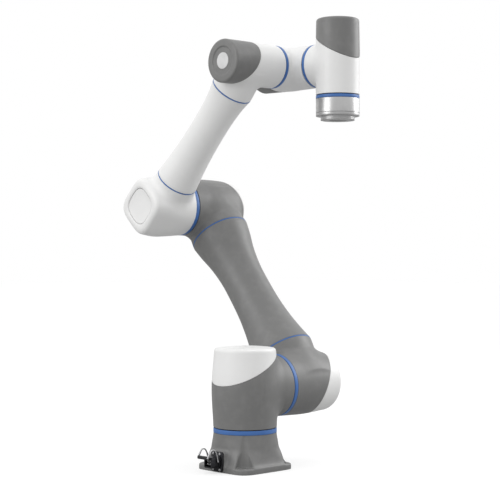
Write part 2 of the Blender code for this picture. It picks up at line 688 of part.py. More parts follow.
def build_tool_flange():
    """Robot tool flange: a centring recess and four tapped holes on a 50 mm circle."""
    before = GROOVE_HALF + SMALL_RING
    seal_ring("wrist_3_seal_ring", SMALL_RADIUS, wrist_3_frame, -before, -GROOVE_HALF, "tool")
    flange_frame = aimed(WRIST_3_JOINT, -UP)
    back = WRIST_3_GROOVE + before + GAP
    profile = [(0, TOOL_FACE), (TOOL_BOSS_RADIUS, TOOL_FACE), (TOOL_BOSS_RADIUS, TOOL_SHOULDER_FACE),
               (SMALL_RADIUS, TOOL_SHOULDER_FACE), (SMALL_RADIUS, back), (0, back)]
    flange = turned_part("tool_flange", profile, flange_frame, "tool", "aluminium")
    recess = rod_profile(TOOL_RECESS_RADIUS, TOOL_FACE - TOOL_RECESS_DEPTH, TOOL_FACE + WALL)
    cut(flange, turned_cutter("tool_recess", recess, flange_frame))
    face = WRIST_3_JOINT - TOOL_FACE * UP
    for angle in DIAGONALS:
        cut(flange, bolt_cutter("tool_bolt", face, angle, TOOL_BOLT_CIRCLE_RADIUS,
                                TOOL_TAPPED_RADIUS, 2 * TOOL_TAPPED_DEPTH))


build_base()
build_connector()
build_shoulder()
build_upper_arm()
build_forearm()
build_wrists()
build_tool_flange()
for prefix, frame, housing, output, hub_radius, depth in ACTUATORS:
    body(prefix + "_rotor", frame.translation)
    actuator(prefix, frame, housing, output, hub_radius, depth)
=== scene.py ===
"""Looks of a six-axis collaborative robot arm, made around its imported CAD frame.

Each cast housing is a distance field, a turned hub blended into its stub, that is meshed, cut at
its seams and thickened into a shell. The base casting is one solid field, cut flat at both ends.
Rings, tubes and the tool flange are turned from outlines, and the connector's pieces are outlines
run along an axis. The actuators inside the joints stay the CAD's own and only get finishes.
Sizes are in metres, in the frame of the CAD, and places come from its joints and boxes.
"""

import json
import math

import bmesh
import bpy
import numpy as np
from mathutils import Matrix, Vector


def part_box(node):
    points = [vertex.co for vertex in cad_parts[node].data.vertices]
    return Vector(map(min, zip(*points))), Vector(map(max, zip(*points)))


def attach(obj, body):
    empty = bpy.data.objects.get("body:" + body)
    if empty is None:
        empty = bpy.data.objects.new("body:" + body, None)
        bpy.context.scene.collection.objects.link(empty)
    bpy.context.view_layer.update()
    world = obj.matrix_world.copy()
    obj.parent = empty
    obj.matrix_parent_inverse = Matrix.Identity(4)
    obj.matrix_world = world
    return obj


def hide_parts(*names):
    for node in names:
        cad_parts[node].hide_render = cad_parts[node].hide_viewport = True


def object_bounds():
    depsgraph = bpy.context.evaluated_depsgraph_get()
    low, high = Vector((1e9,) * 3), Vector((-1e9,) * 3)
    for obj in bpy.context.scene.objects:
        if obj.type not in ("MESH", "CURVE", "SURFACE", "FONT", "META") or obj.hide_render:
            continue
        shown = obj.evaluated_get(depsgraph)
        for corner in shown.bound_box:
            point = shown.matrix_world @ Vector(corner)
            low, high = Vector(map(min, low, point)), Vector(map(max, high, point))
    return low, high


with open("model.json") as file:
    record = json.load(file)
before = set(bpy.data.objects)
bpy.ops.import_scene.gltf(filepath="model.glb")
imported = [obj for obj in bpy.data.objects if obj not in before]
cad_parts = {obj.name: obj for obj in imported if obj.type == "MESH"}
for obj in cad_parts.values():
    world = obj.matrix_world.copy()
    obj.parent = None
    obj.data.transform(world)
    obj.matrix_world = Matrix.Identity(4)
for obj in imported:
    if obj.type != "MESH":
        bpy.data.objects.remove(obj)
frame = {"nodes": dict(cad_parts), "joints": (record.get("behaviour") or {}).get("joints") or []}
CAD_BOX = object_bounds()

# ---------------------------------------------------------------- places, from the CAD
X, Y, Z = Vector((1, 0, 0)), Vector((0, 1, 0)), Vector((0, 0, 1))
PIVOTS = {joint["name"]: Vector(joint["pos_m"]) for joint in frame["joints"]}


def middle(node):
    """Centre of a CAD node's box."""
    low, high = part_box(node)
    return (low + high) / 2


def aimed(point, axis, side):
    """Frame at a point whose Z is axis and whose X is the direction nearest to side."""
    z_axis = axis.normalized()
    y_axis = z_axis.cross(side).normalized()
    rotation = Matrix((y_axis.cross(z_axis), y_axis, z_axis)).transposed()
    return Matrix.Translation(point) @ rotation.to_4x4()


BASE_GROOVE = PIVOTS["base_turn"]
SHOULDER_GROOVE = PIVOTS["shoulder_turn"]
ELBOW_GROOVE = PIVOTS["elbow_turn"]
WRIST_1_GROOVE = PIVOTS["wrist_1_turn"]
WRIST_2_GROOVE = PIVOTS["wrist_2_turn"]
WRIST_3_GROOVE = PIVOTS["wrist_3_turn"]

ARM_PLANE = middle("upper_arm_tube").y
FOREARM_PLANE = middle("forearm_tube").y
WRIST_PLANE = WRIST_2_GROOVE.y
WRIST_HEIGHT = WRIST_1_GROOVE.z
WRIST_2_CENTRE = Vector((WRIST_1_GROOVE.x, WRIST_PLANE, WRIST_HEIGHT))
WRIST_3_CENTRE = Vector((WRIST_3_GROOVE.x, WRIST_PLANE, WRIST_HEIGHT))


def direction(start, end):
    """Unit vector from start to end with no part along Y."""
    step = end - start
    return Vector((step.x, 0, step.z)).normalized()


UPPER_ARM_AXIS = direction(SHOULDER_GROOVE, ELBOW_GROOVE)
FOREARM_AXIS = direction(ELBOW_GROOVE, WRIST_1_GROOVE)

GROOVE_HALF = 0.0008
GAP = 0.0003
LARGE_RING = 0.0078
SMALL_RING = 0.0056
BAND_HEIGHT = 0.0022
LARGE_RADIUS = 0.0580
ELBOW_RADIUS = 0.0562
SMALL_RADIUS = 0.0403
EDGE = 0.0004
DIAGONALS = [math.radians(45 + 90 * i) for i in range(4)]

# ---------------------------------------------------------------- camera, stage and light
CAMERA_PLACE = Vector((1.8303, -1.7537, 0.3987))
CAMERA_LOOK = Vector((-0.7196, 0.6944, 0.0))
LENS = 99.91
SENSOR = 36.0


def make_camera():
    """Level camera in front of the arm, on its right."""
    camera = bpy.data.objects.new("camera", bpy.data.cameras.new("camera"))
    bpy.context.scene.collection.objects.link(camera)
    camera.location = CAMERA_PLACE
    camera.rotation_euler = CAMERA_LOOK.to_track_quat("-Z", "Y").to_euler()
    camera.data.lens = LENS
    camera.data.sensor_width = SENSOR
    bpy.context.scene.camera = camera


def area_light(name, place, target, size, power, shape="SQUARE"):
    """Soft lamp at place that faces target."""
    lamp = bpy.data.lights.new(name, "AREA")
    lamp.shape = shape
    lamp.size = size
    lamp.energy = power
    light = bpy.data.objects.new(name, lamp)
    bpy.context.scene.collection.objects.link(light)
    light.location = place
    light.rotation_euler = (Vector(target) - Vector(place)).to_track_quat("-Z", "Y").to_euler()
    return light


def make_world():
    """Even white surroundings, a little brighter overhead than at the horizon."""
    world = bpy.data.worlds.new("studio")
    bpy.context.scene.world = world
    world.use_nodes = True
    tree = world.node_tree
    background = tree.nodes["Background"]
    coordinate = tree.nodes.new("ShaderNodeTexCoord")
    split = tree.nodes.new("ShaderNodeSeparateXYZ")
    ramp = tree.nodes.new("ShaderNodeValToRGB")
    ramp.color_ramp.elements[0].position = 0.42
    ramp.color_ramp.elements[0].color = (0.30, 0.30, 0.30, 1)
    ramp.color_ramp.elements[1].position = 0.55
    ramp.color_ramp.elements[1].color = (0.95, 0.95, 0.95, 1)
    rise = tree.nodes.new("ShaderNodeMapRange")
    rise.inputs["From Min"].default_value = -1
    path = tree.nodes.new("ShaderNodeLightPath")
    mix = tree.nodes.new("ShaderNodeMix")
    mix.data_type = "RGBA"
    tree.links.new(coordinate.outputs["Generated"], split.inputs[0])
    tree.links.new(split.outputs["Z"], rise.inputs["Value"])
    tree.links.new(rise.outputs["Result"], ramp.inputs["Fac"])
    tree.links.new(path.outputs["Is Camera Ray"], mix.inputs[0])
    tree.links.new(ramp.outputs["Color"], mix.inputs["A"])
    mix.inputs["B"].default_value = (1, 1, 1, 1)
    tree.links.new(mix.outputs["Result"], background.inputs["Color"])
    background.inputs["Strength"].default_value = 1.0


def make_floor():
    """Wide pale floor under the base."""
    mesh = bpy.data.meshes.new("floor")
    bm = bmesh.new()
    bmesh.ops.create_grid(bm, x_segments=8, y_segments=8, size=12.0)
    bm.to_mesh(mesh)
    bm.free()
    floor = bpy.data.objects.new("floor", mesh)
    bpy.context.scene.collection.objects.link(floor)
    floor.location.z = CAD_BOX[0].z
    material = bpy.data.materials.new("floor")
    material.use_nodes = True
    tree = material.node_tree
    shader = tree.nodes["Principled BSDF"]
    shader.inputs["Base Color"].default_value = (0.38, 0.38, 0.38, 1)
    shader.inputs["Roughness"].default_value = 0.9
    shader.inputs["Specular IOR Level"].default_value = 0.1
    shader.inputs["Emission Color"].default_value = (1, 1, 1, 1)
    glow = tree.nodes.new("ShaderNodeMath")
    glow.operation = "MULTIPLY"
    glow.inputs[1].default_value = 0.62
    tree.links.new(tree.nodes.new("ShaderNodeLightPath").outputs["Is Camera Ray"], glow.inputs[0])
    tree.links.new(glow.outputs["Value"], shader.inputs["Emission Strength"])
    mesh.materials.append(material)


bpy.context.scene.view_settings.view_transform = "Standard"
make_camera()
make_world()
make_floor()
area_light("left_box", (-0.67, -2.41, 1.3), (0, 0, 0.4), 1.6, 20)
area_light("right_box", (0.81, 2.0, 1.4), (0, 0, 0.4), 1.4, 23)
area_light("top_box", (0.0, 0.0, 2.8), (0, 0, 0.3), 2.4, 8)


# ---------------------------------------------------------------- materials
class Finish:
    """One Principled material, with short calls that add and link its nodes."""

    def __init__(self, name, slot, roughness, metallic=0.0):
        self.slot = slot
        self.material = bpy.data.materials.new(name)
        self.material.use_nodes = True
        self.tree = self.material.node_tree
        self.shader = self.tree.nodes["Principled BSDF"]
        self.shader.inputs["Roughness"].default_value = roughness
        self.shader.inputs["Metallic"].default_value = metallic

    def add(self, kind, settings=(), **inputs):
        """Node of one kind. An input's value is a number, a colour or another node's output."""
        node = self.tree.nodes.new(kind)
        for name, value in dict(settings).items():
            setattr(node, name, value)
        for name, value in inputs.items():
            self.set(node, name.replace("_", " "), value)
        return node

    def set(self, node, name, value):
        """Give a node's input a value or link it to an output."""
        socket = node.inputs[int(name) if name.isdigit() else name]
        if isinstance(value, bpy.types.NodeSocket):
            self.tree.links.new(value, socket)
        else:
            socket.default_value = value

    def place(self, stretch=(1, 1, 1)):
        """Point on the object, stretched along its axes."""
        coordinate = self.add("ShaderNodeTexCoord")
        if stretch == (1, 1, 1):
            return coordinate.outputs["Object"]
        return self.add("ShaderNodeMapping", Vector=coordinate.outputs["Object"],
                        Scale=stretch).outputs["Vector"]

    def noise(self, scale, detail=2.0, place=None):
        """Noise value from 0 to 1."""
        return self.add("ShaderNodeTexNoise", Vector=place or self.place(), Scale=scale,
                        Detail=detail).outputs["Fac"]

    def between(self, value, low, high, start=0.3, end=0.7):
        """Value mapped from its start and end to low and high."""
        node = self.add("ShaderNodeMapRange", Value=value)
        for name, number in (("From Min", start), ("From Max", end), ("To Min", low), ("To Max", high)):
            node.inputs[name].default_value = number
        return node.outputs["Result"]

    def blend(self, share, first, second):
        """Colour between first and second."""
        node = self.add("ShaderNodeMix", {"data_type": "RGBA"})
        self.set(node, "0", share)
        for socket, colour in ((node.inputs[6], first), (node.inputs[7], second)):
            if isinstance(colour, bpy.types.NodeSocket):
                self.tree.links.new(colour, socket)
            else:
                socket.default_value = (*colour, 1)
        return node.outputs[2]

    def bump(self, height, distance, strength=1.0, under=None):
        """Normal that height raises by distance."""
        node = self.add("ShaderNodeBump", Height=height, Distance=distance, Strength=strength)
        if under:
            self.tree.links.new(under, node.inputs["Normal"])
        return node.outputs["Normal"]

    def finish(self, colour=None, roughness=None, normal=None):
        """Link the outputs to the shader."""
        for name, value in (("Base Color", colour), ("Roughness", roughness), ("Normal", normal)):
            if value is not None:
                self.set(self.shader, name, value)
        return self


def shaded(colour, factor):
    """Colour times a factor."""
    return tuple(min(1.0, part * factor) for part in colour)


def paint(name, slot, colour, roughness):
    """Satin powder coat: fine orange peel, slow colour drift, and dust that dulls it a little."""
    coat = Finish(name, slot, roughness)
    drift = coat.between(coat.noise(12.0, 3.0), 0, 1)
    dust = coat.between(coat.noise(60.0, 4.0), 0, 1, 0.45, 0.75)
    tone = coat.blend(drift, shaded(colour, 0.985), shaded(colour, 1.015))
    tone = coat.blend(coat.between(dust, 0, 0.05, 0, 1), tone, (0.62, 0.61, 0.59))
    rough = coat.between(coat.noise(35.0, 3.0), roughness - 0.035, roughness + 0.045)
    peel = coat.bump(coat.noise(520.0, 2.0), 0.00012, 0.35)
    grain = coat.bump(coat.noise(2600.0, 1.0), 0.00004, 0.30, peel)
    coat.shader.inputs["Coat Weight"].default_value = 0.12
    coat.shader.inputs["Coat Roughness"].default_value = 0.25
    return coat.finish(tone, rough, grain)


def moulded(name, slot, colour, roughness, grain_size=1500.0):
    """Moulded plastic or rubber with an even spark-eroded grain."""
    plastic = Finish(name, slot, roughness)
    tone = plastic.blend(plastic.between(plastic.noise(45.0, 3.0), 0, 1),
                         shaded(colour, 0.93), shaded(colour, 1.06))
    rough = plastic.between(plastic.noise(90.0, 3.0), roughness - 0.05, roughness + 0.06)
    return plastic.finish(tone, rough, plastic.bump(plastic.noise(grain_size, 2.0), 0.00005, 0.5))


def turned_metal(name, slot, colour, roughness, stretch, lines=2200.0):
    """Metal from the lathe: tool lines run round it, and its tone drifts along it."""
    metal = Finish(name, slot, roughness, 1.0)
    ring = metal.place(stretch)
    cut_lines = metal.noise(lines, 2.0, ring)
    tone = metal.blend(metal.between(metal.noise(60.0, 3.0), 0, 1),
                       shaded(colour, 0.95), shaded(colour, 1.04))
    rough = metal.between(metal.noise(lines / 3, 2.0, ring), roughness - 0.05, roughness + 0.08)
    return metal.finish(tone, rough, metal.bump(cut_lines, 0.00003, 0.35))


def rough_metal(name, slot, colour, roughness):
    """Blackened or bead-blasted metal with a fine mottle and paler rubbed spots."""
    metal = Finish(name, slot, roughness, 1.0)
    mottle = metal.between(metal.noise(320.0, 4.0), 0, 1)
    rubbed = metal.between(metal.noise(110.0, 3.0), 0, 0.35, 0.58, 0.75)
    tone = metal.blend(mottle, shaded(colour, 0.85), shaded(colour, 1.15))
    tone = metal.blend(rubbed, tone, shaded(colour, 1.8))
    rough = metal.between(metal.noise(420.0, 3.0), roughness - 0.06, roughness + 0.10)
    return metal.finish(tone, rough, metal.bump(metal.noise(1200.0, 3.0), 0.00004, 0.4))


def winding(name, slot, copper, steel):
    """Laminated core with varnished copper turns showing between its teeth, and painted shade in the creases
    between the turns.
    """
    metal = Finish(name, slot, 0.35, 1.0)
    teeth = metal.add("ShaderNodeTexVoronoi", Vector=metal.place(), Scale=160.0).outputs["Distance"]
    wires = metal.add("ShaderNodeTexWave", {"bands_direction": "Z"}, Vector=metal.place(), Scale=900.0,
                      Distortion=0.6).outputs["Fac"]
    tone = metal.blend(metal.between(teeth, 0, 1, 0.35, 0.5), copper, steel)
    # Darker copper in each wire band is painted shade in the crease between turns.
    tone = metal.blend(metal.between(wires, 0, 0.4, 0, 1), tone, shaded(copper, 0.4))
    return metal.finish(tone, metal.between(wires, 0.28, 0.5, 0, 1), metal.bump(wires, 0.0001, 0.5))


def board(name, slot, mask, copper):
    """Circuit board: green solder mask over tracks, with tinned pads."""
    green = Finish(name, slot, 0.4)
    tracks = green.add("ShaderNodeTexVoronoi", {"feature": "DISTANCE_TO_EDGE"}, Vector=green.place(),
                       Scale=260.0).outputs["Distance"]
    pads = green.add("ShaderNodeTexVoronoi", Vector=green.place(), Scale=420.0).outputs["Distance"]
    tone = green.blend(green.between(tracks, 1, 0, 0.02, 0.06), mask, shaded(mask, 1.7))
    tone = green.blend(green.between(pads, 1, 0, 0.10, 0.16), tone, copper)
    return green.finish(tone, green.between(pads, 0.25, 0.45, 0.1, 0.2),
                        green.bump(tracks, 0.00008, 0.4))


GREY = (0.168, 0.168, 0.166)
WHITE = (0.800, 0.800, 0.795)
BLUE = (0.050, 0.150, 0.420)
ALUMINIUM = (0.50, 0.50, 0.50)

GREY_PAINT = paint("grey_paint", "grey_paint", GREY, 0.48)
WHITE_PAINT = paint("white_paint", "white_paint", WHITE, 0.42)
BLUE_RING = moulded("blue_ring", "blue_seal", BLUE, 0.42)
BADGE = moulded("badge", "white_paint", (0.66, 0.66, 0.66), 0.35)
GASKET = moulded("gasket_rubber", "black_plastic", (0.03, 0.03, 0.03), 0.6)
BLACK_PLASTIC = moulded("black_plastic", "black_plastic", (0.012, 0.012, 0.013), 0.45)
FLANGE_METAL = turned_metal("turned_aluminium", "bare_aluminium", ALUMINIUM, 0.34, (0.02, 0.02, 1))
PLATE_METAL = rough_metal("dark_plate", "dark_steel", (0.055, 0.055, 0.060), 0.38)
BRIGHT_STEEL = rough_metal("bright_steel", "bare_aluminium", (0.62, 0.62, 0.63), 0.22)
# Near-black turned metal for the output flanges is painted shade, so the gap at each joint groove reads as a
# dark line.
PAINTED_SHADE_FLANGE_METAL = turned_metal("groove_painted_shade_metal", "dark_steel", (0.012, 0.012, 0.020), 0.40, (1, 1, 1))
GEAR_METAL = turned_metal("gear_metal", "gear_steel", (0.42, 0.42, 0.44), 0.30, (1, 1, 1))
WINDING = winding("winding", "copper_winding", (0.62, 0.28, 0.12), (0.35, 0.35, 0.36))
BOARD = board("board", "circuit_board", (0.03, 0.20, 0.09), (0.75, 0.60, 0.35))


# ---------------------------------------------------------------- outlines
def eased(heights, stations):
    """Smooth cubic through (height, value) stations, read at heights."""
    x, y = np.array(sorted(stations), float).T
    slope = np.gradient(y, x)
    i = np.clip(np.searchsorted(x, heights) - 1, 0, len(x) - 2)
    width = x[i + 1] - x[i]
    t = np.clip((heights - x[i]) / width, 0, 1)
    rise = t * t * (3 - 2 * t)
    return ((1 - rise) * y[i] + rise * y[i + 1]
            + width * (t * (1 - t) ** 2 * slope[i] + t * t * (t - 1) * slope[i + 1]))


def arc(centre, radius, start, end, steps=8):
    """Points on an arc, with its angles in degrees."""
    angles = np.radians(np.linspace(start, end, steps + 1))
    return [(centre[0] + radius * math.cos(a), centre[1] + radius * math.sin(a)) for a in angles]


def filleted(corners, steps=4):
    """Closed outline through (x, y, radius) corners, each rounded to its radius."""
    outline = []
    for i, (x, y, radius) in enumerate(corners):
        point = Vector((x, y))
        if not radius:
            outline.append((x, y))
            continue
        back = (Vector(corners[i - 1][:2]) - point).normalized()
        ahead = (Vector(corners[(i + 1) % len(corners)][:2]) - point).normalized()
        half = back.angle(ahead) / 2
        centre = point + (back + ahead).normalized() * radius / math.sin(half)
        first = point + back * radius / math.tan(half) - centre
        last = point + ahead * radius / math.tan(half) - centre
        turn = math.atan2(first.x * last.y - first.y * last.x, first.dot(last))
        start = math.atan2(first.y, first.x)
        for step in range(steps + 1):
            angle = start + turn * step / steps
            outline.append((centre.x + radius * math.cos(angle), centre.y + radius * math.sin(angle)))
    return outline


def hub_outline(start_radius, middle_radius, end_radius, length, start, corner, dome):
    """Half section of a hub, from the axis below its joint end out, up and over its domed cap."""
    below = start - 0.012
    side_top = length - dome - corner
    heights = np.linspace(below, side_top, 16)
    stations = [(start, start_radius), (0.52 * length, middle_radius), (side_top, end_radius)]
    side = list(zip(eased(heights, stations), heights))
    edge = arc((end_radius - corner, side_top), corner, 0, 90, 12)[1:]
    crown_radius = end_radius - corner
    crown = [(crown_radius * (1 - k / 8), length - dome * (1 - k / 8) ** 2) for k in range(1, 9)]
    return [(0, below)] + side + edge + crown


# ---------------------------------------------------------------- distance fields
def polygon_distance(points, outline):
    """Distance from 2D points to a closed outline, negative inside."""
    nearest = np.full(len(points), np.inf)
    inside = np.zeros(len(points), bool)
    for a, b in zip(outline, np.roll(outline, -1, axis=0)):
        edge = b - a
        offset = points - a
        along = np.clip(offset @ edge / (edge @ edge), 0, 1)
        gap = offset - along[:, None] * edge
        nearest = np.minimum(nearest, (gap * gap).sum(1))
        if a[1] != b[1]:
            spans = (a[1] > points[:, 1]) != (b[1] > points[:, 1])
            inside ^= spans & (offset[:, 0] < offset[:, 1] * edge[0] / edge[1])
    return np.sqrt(nearest) * np.where(inside, -1, 1)


def turned_field(outline):
    """Solid that a half section makes when it turns about local Z."""
    section = np.array(outline + [(-r, z) for r, z in reversed(outline) if r > 0])
    return lambda p: polygon_distance(np.stack((np.hypot(p[:, 0], p[:, 1]), p[:, 2]), 1), section)


def merged(a, b, soft):
    """Union of two fields, with a fillet as wide as soft."""
    share = np.clip(0.5 + 0.5 * (b - a) / soft, 0, 1)
    return b + (a - b) * share - soft * share * (1 - share)


def shared(a, b, soft):
    """Intersection of two fields, with a rounded edge as wide as soft."""
    return -merged(-a, -b, soft)


def squircle_field(p, half, power):
    """Rounded square prism about local Z. Half width and power may vary from point to point."""
    flat = np.maximum(np.abs(p[:, :2]), 1e-9)
    return (flat[:, 0] ** power + flat[:, 1] ** power) ** (1 / power) - half


def stub_field(p, height, stations):
    """Round stub along local X at a height, with its radius given at (distance, radius) stations."""
    radius = eased(p[:, 0], stations)
    return np.maximum(np.hypot(p[:, 1], p[:, 2] - height) - radius, -p[:, 0])


def gradient(field, points, step=0.0002):
    """Slope of a field at points."""
    shifts = step * np.eye(3)
    return np.stack([field(points + s) - field(points - s) for s in shifts], 1) / (2 * step)


def projected(points, field, rounds=3):
    """Points moved onto the surface of a field."""
    for _ in range(rounds):
        slope = gradient(field, points)
        points = points - (field(points) / np.maximum((slope * slope).sum(1), 0.05))[:, None] * slope
    return points


# ---------------------------------------------------------------- field to mesh
BLOCK = 4


def inside_grid(field, low, high, cell):
    """Whether each point of a grid is inside. Only blocks near the surface are read closely."""
    ticks = [np.arange(a, b + cell, cell) for a, b in zip(low, high)]
    grid = np.stack(np.meshgrid(*ticks, indexing="ij"), -1)
    coarse = grid[::BLOCK, ::BLOCK, ::BLOCK]
    rough = field(coarse.reshape(-1, 3)).reshape(coarse.shape[:3])
    for axis in range(3):
        rough = np.repeat(rough, BLOCK, axis=axis)
    rough = rough[:grid.shape[0], :grid.shape[1], :grid.shape[2]]
    near = np.abs(rough) < BLOCK * cell * 1.9
    inside = rough < 0
    inside[near] = field(grid[near]) < 0
    return inside


def surface(field, low, high, cell):
    """Even quads on the surface of a field inside a box: (points, quads)."""
    inside = inside_grid(field, low, high, cell)
    corners = sum(inside[i:inside.shape[0] - 1 + i, j:inside.shape[1] - 1 + j,
                         k:inside.shape[2] - 1 + k].astype(int)
                  for i in (0, 1) for j in (0, 1) for k in (0, 1))
    crossed = (corners > 0) & (corners < 8)
    number = np.full(crossed.shape, -1)
    number[crossed] = np.arange(crossed.sum())
    points = np.array(low) + (np.argwhere(crossed) + 0.5) * cell
    quads = []
    for axis in range(3):
        order = [axis, (axis + 1) % 3, (axis + 2) % 3]
        solid, cells = inside.transpose(order), number.transpose(order)
        ends = solid[:-1] != solid[1:]
        i, j, k = np.argwhere(ends[:, 1:-1, 1:-1]).T
        ring = np.stack((cells[i, j, k], cells[i, j + 1, k], cells[i, j + 1, k + 1],
                         cells[i, j, k + 1]), 1)
        outward = solid[:-1, 1:-1, 1:-1][i, j, k]
        quads.append(np.where(outward[:, None], ring, ring[:, ::-1]))
    quads = np.concatenate(quads)
    points = projected(points, field)
    for _ in range(4):
        points = projected(averaged(points, quads), field, 1)
    return projected(points, field), quads


def averaged(points, quads):
    """Each point moved to the mean of its neighbours."""
    start = quads.ravel()
    end = np.roll(quads, -1, axis=1).ravel()
    count = np.maximum(np.bincount(start, minlength=len(points)), 1)
    total = [np.bincount(start, points[end, axis], len(points)) for axis in range(3)]
    return np.stack(total, 1) / count[:, None]


def slid(points, field, place, normal, reach):
    """The points near a plane slide along the surface onto it, so that no sliver is cut there."""
    points = points.copy()
    near = np.abs((points - place) @ normal) < reach
    for _ in range(3):
        offset = (points[near] - place) @ normal
        slope = gradient(field, points[near])
        slope /= np.linalg.norm(slope, axis=1)[:, None]
        slide = normal - (slope @ normal)[:, None] * slope
        size = np.maximum((slide * slide).sum(1), 0.2)
        points[near] = projected(points[near] - (offset / size)[:, None] * slide, field, 1)
    return points


def trimmed(skin, field, cuts, cell):
    """The skin as a bmesh, cut by (place, normal) planes. What lies past a plane goes."""
    points, quads = skin
    cuts = [(np.array(place), np.array(Vector(normal).normalized())) for place, normal in cuts]
    for place, normal in cuts:
        points = slid(points, field, place, normal, 0.3 * cell)
    mesh = bpy.data.meshes.new("skin")
    mesh.from_pydata(points.tolist(), [], quads.tolist())
    bm = bmesh.new()
    bm.from_mesh(mesh)
    bpy.data.meshes.remove(mesh)
    for place, normal in cuts:
        bmesh.ops.bisect_plane(bm, geom=bm.verts[:] + bm.edges[:] + bm.faces[:], dist=0.00002,
                               plane_co=place, plane_no=normal, clear_outer=True)
    return bm


# ---------------------------------------------------------------- pieces
def add_piece(name, mesh, owner, finish, stands_for=()):
    """Link a mesh in the row frame as a piece of a body, with its finish."""
    piece = bpy.data.objects.new(name, mesh)
    bpy.context.scene.collection.objects.link(piece)
    mesh.materials.clear()
    mesh.materials.append(finish.material)
    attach(piece, owner)
    if stands_for:
        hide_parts(*stands_for)
    return piece


def smoothed(mesh, angle=34):
    """Smooth shading, with edges sharper than angle kept sharp."""
    mesh.shade_smooth()
    mesh.set_sharp_from_angle(angle=math.radians(angle))
    return mesh


def modified(mesh, *modifiers):
    """Mesh with modifiers, given as (type, settings), worked out."""
    worker = bpy.data.objects.new("worker", mesh)
    bpy.context.scene.collection.objects.link(worker)
    for kind, settings in modifiers:
        modifier = worker.modifiers.new(kind, kind)
        for name, value in settings.items():
            setattr(modifier, name, value)
    graph = bpy.context.evaluated_depsgraph_get()
    made = bpy.data.meshes.new_from_object(worker.evaluated_get(graph))
    bpy.data.objects.remove(worker)
    return made


def shell(name, skin, field, cuts, cell, place, owner, finish, wall=0.0030, edge=EDGE):
    """Hollow casting: the trimmed skin, thickened inwards, with its rims softened."""
    bm = trimmed(skin, field, cuts, cell)
    mesh = bpy.data.meshes.new(name)
    bm.to_mesh(mesh)
    bm.free()
    thick = ("SOLIDIFY", {"thickness": wall, "offset": -1, "use_even_offset": True})
    soft = ("BEVEL", {"width": edge, "segments": 2, "limit_method": "ANGLE",
                      "angle_limit": math.radians(50), "use_clamp_overlap": False})
    mesh = modified(mesh, thick, soft)
    mesh.name = name
    mesh.transform(place)
    return add_piece(name, smoothed(mesh), owner, finish, (name,))


def closed_mesh(name, points, faces, place):
    """Mesh with its coincident points joined and its faces pointing out, put in place."""
    mesh = bpy.data.meshes.new(name)
    mesh.from_pydata(points.tolist(), [], faces)
    bm = bmesh.new()
    bm.from_mesh(mesh)
    bmesh.ops.remove_doubles(bm, verts=bm.verts[:], dist=1e-6)
    loose = [edge for edge in bm.edges if not edge.link_faces]
    bmesh.ops.delete(bm, geom=loose, context="EDGES")
    bmesh.ops.recalc_face_normals(bm, faces=bm.faces[:])
    bm.to_mesh(mesh)
    bm.free()
    mesh.transform(place)
    return smoothed(mesh)


def turned_mesh(name, outline, place, steps=128):
    """Closed outline of (radius, height) points, turned about the place's Z."""
    count = len(outline)
    angles = np.linspace(0, 2 * math.pi, steps, endpoint=False)
    radius, height = np.array(outline).T
    points = np.stack([np.outer(np.cos(angles), radius), np.outer(np.sin(angles), radius),
                       np.tile(height, (steps, 1))], -1).reshape(-1, 3)
    i, j = np.meshgrid(np.arange(steps), np.arange(count), indexing="ij")
    i2, j2 = (i + 1) % steps, (j + 1) % count
    quads = np.stack((i * count + j, i2 * count + j, i2 * count + j2, i * count + j2), -1)
    return closed_mesh(name, points, quads.reshape(-1, 4).tolist(), place)


def prism(name, outline, low, high, place, edge=EDGE):
    """Outline that runs from low to high along the place's Z, with softened edges."""
    bm = bmesh.new()
    rings = [[bm.verts.new((x, y, height)) for x, y in outline] for height in (low, high)]
    for ring in rings:
        bm.faces.new(ring)
    count = len(outline)
    for i in range(count):
        j = (i + 1) % count
        bm.faces.new((rings[0][i], rings[0][j], rings[1][j], rings[1][i]))
    bmesh.ops.recalc_face_normals(bm, faces=bm.faces[:])
    mesh = bpy.data.meshes.new(name)
    bm.to_mesh(mesh)
    bm.free()
    mesh = modified(mesh, ("BEVEL", {"width": edge, "segments": 2, "limit_method": "ANGLE",
                                     "angle_limit": math.radians(50)}))
    mesh.name = name
    mesh.transform(place)
    return smoothed(mesh)


def bored(mesh, cutters):
    """Mesh with the cutter meshes taken away from it."""
    name = mesh.name
    for cutter in cutters:
        tool = bpy.data.objects.new("cutter", cutter)
        bpy.context.scene.collection.objects.link(tool)
        mesh = modified(mesh, ("BOOLEAN", {"operation": "DIFFERENCE", "solver": "EXACT",
                                           "object": tool}))
        bpy.data.objects.remove(tool)
    mesh.name = name
    return smoothed(mesh)


def rectangle(width, height, radius):
    """Rectangle about the origin with rounded corners."""
    x, y = width / 2, height / 2
    return filleted([(-x, -y, radius), (x, -y, radius), (x, y, radius), (-x, y, radius)])


def turned_piece(name, outline, place, owner, finish, stands_for=None):
    """Piece turned from an outline. It stands for the CAD node of its own name unless told."""
    nodes = (name,) if stands_for is None else stands_for
    return add_piece(name, turned_mesh(name, outline, place), owner, finish, nodes)


def ring_outline(outer, inner, low, high, edge=EDGE):
    """Section of a plain ring with softened edges."""
    return filleted([(inner, low, 0), (outer, low, edge), (outer, high, edge), (inner, high, 0)])


def seal_ring(name, radius, place, low, high, owner):
    """Blue ring beside a joint groove."""
    turned_piece(name, ring_outline(radius, radius - 0.006, low, high, 0.0006), place, owner, BLUE_RING)


def tube(name, stations, place, owner, finish, wall=0.0030):
    """Waisted tube through (height, radius) stations."""
    low, high = min(stations)[0], max(stations)[0]
    heights = np.linspace(low, high, 49)
    outer = eased(heights, stations)
    rim = EDGE
    body = [(r, h) for r, h in zip(outer[1:-1], heights[1:-1])]
    inner = [(r - wall, h) for r, h in reversed(list(zip(outer, heights)))]
    start, end = outer[0], outer[-1]
    outline = ([(start - rim, low), (start - 0.3 * rim, low + 0.3 * rim), (start, low + rim)] + body
               + [(end, high - rim), (end - 0.3 * rim, high - 0.3 * rim), (end - rim, high)] + inner)
    turned_piece(name, outline, place, owner, finish)


